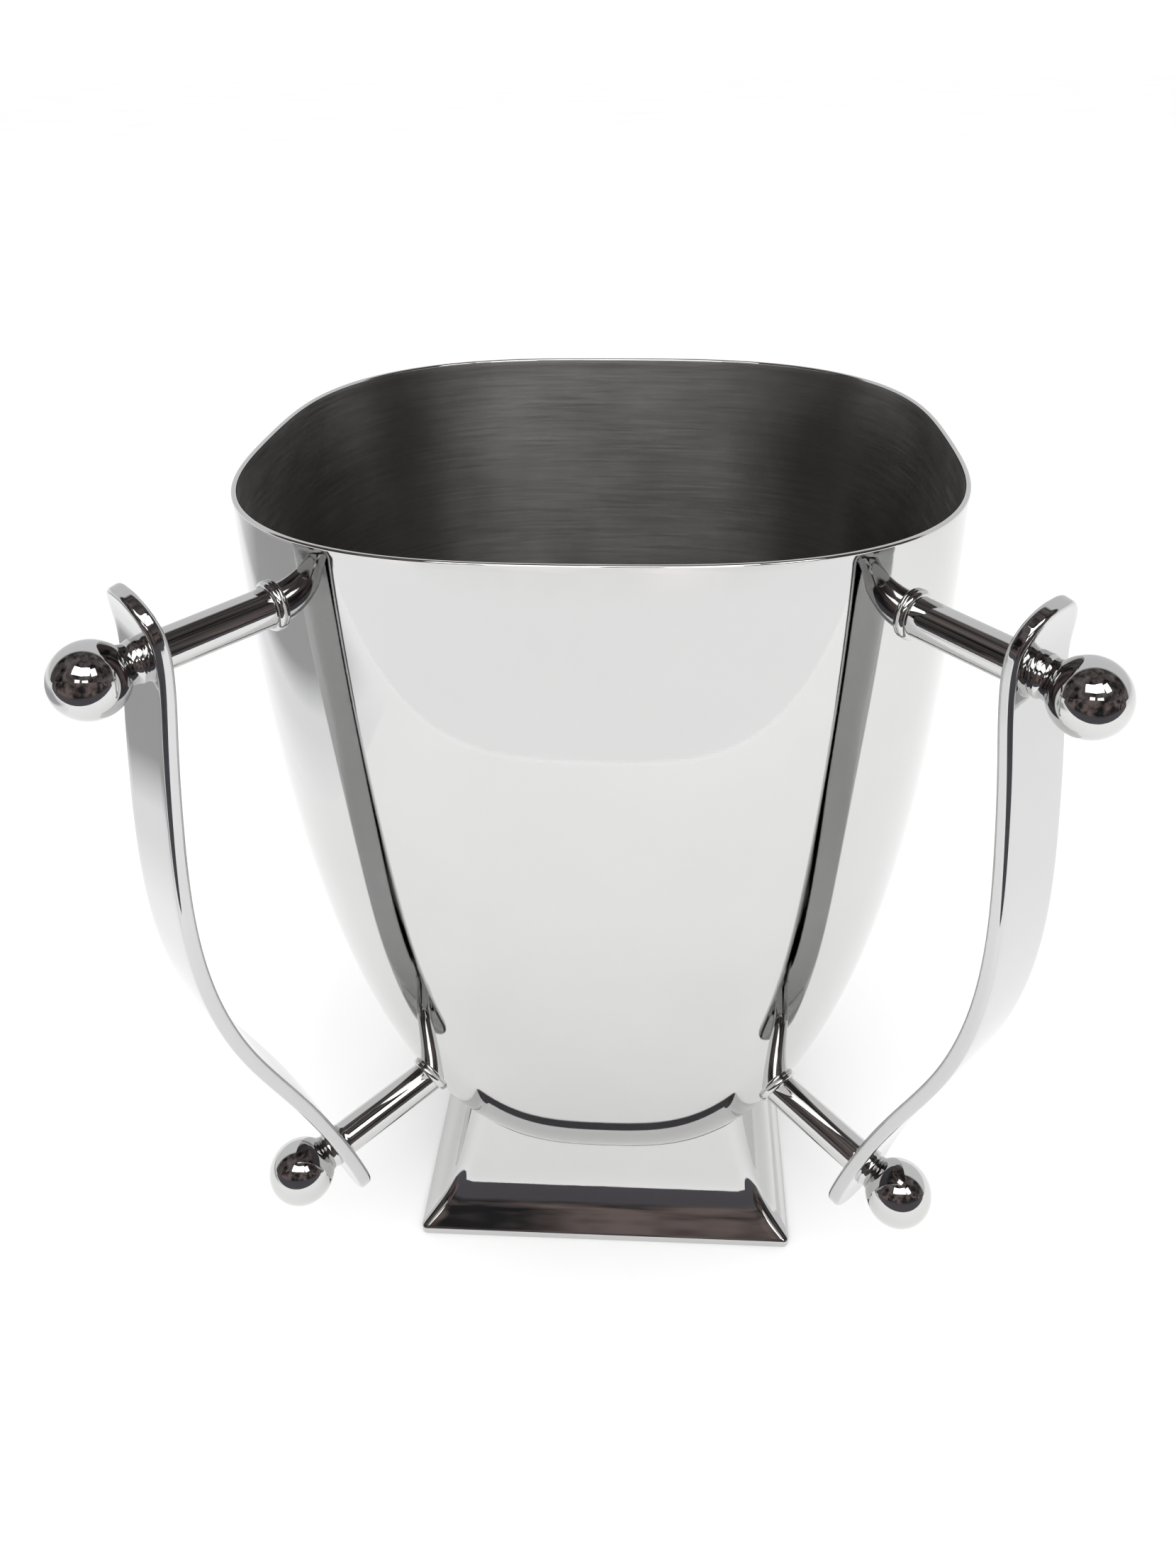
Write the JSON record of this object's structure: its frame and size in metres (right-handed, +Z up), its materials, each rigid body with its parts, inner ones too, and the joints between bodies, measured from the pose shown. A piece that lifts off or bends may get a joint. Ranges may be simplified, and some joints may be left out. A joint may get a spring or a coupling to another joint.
{
  "type": "champagne bucket",
  "caption": "Polished metal champagne bucket: rounded-square body tapering to a coved square foot, with bowed strap handles held off the corners by rods and ball ends.",
  "frame": {"origin": "middle of the foot's flat underside, on the bucket's upright axis", "axes": "+Z up out of the mouth, +X to the right handle's side, -Y to the front corners that carry the handles"},
  "size_m": [0.2478, 0.2173, 0.268],
  "materials": {
    "polished_body": "mirror-polished silver plate outside, satin brushed inside",
    "polished_foot": "mirror-polished silver plate",
    "satin_plate": "satin",
    "polished_strap": "mirror-polished silver plate",
    "polished_rod": "mirror-polished silver plate",
    "polished_ball": "mirror-polished silver plate",
    "steel_stud": "plain"
  },
  "bodies": {
    "root": {"bucket_shell": "polished_body", "foot": "polished_foot", "foot_base_plate": "satin_plate", "right_upper_rod": "polished_rod", "right_upper_collar": "polished_rod", "right_upper_neck": "polished_rod", "right_upper_ball": "polished_ball", "right_upper_stud": "steel_stud", "right_lower_rod": "polished_rod", "right_lower_collar": "polished_rod", "right_lower_neck": "polished_rod", "right_lower_ball": "polished_ball", "right_lower_stud": "steel_stud", "right_strap": "polished_strap", "left_upper_rod": "polished_rod", "left_upper_collar": "polished_rod", "left_upper_neck": "polished_rod", "left_upper_ball": "polished_ball", "left_upper_stud": "steel_stud", "left_lower_rod": "polished_rod", "left_lower_collar": "polished_rod", "left_lower_neck": "polished_rod", "left_lower_ball": "polished_ball", "left_lower_stud": "steel_stud", "left_strap": "polished_strap"}
  },
  "joints": []
}
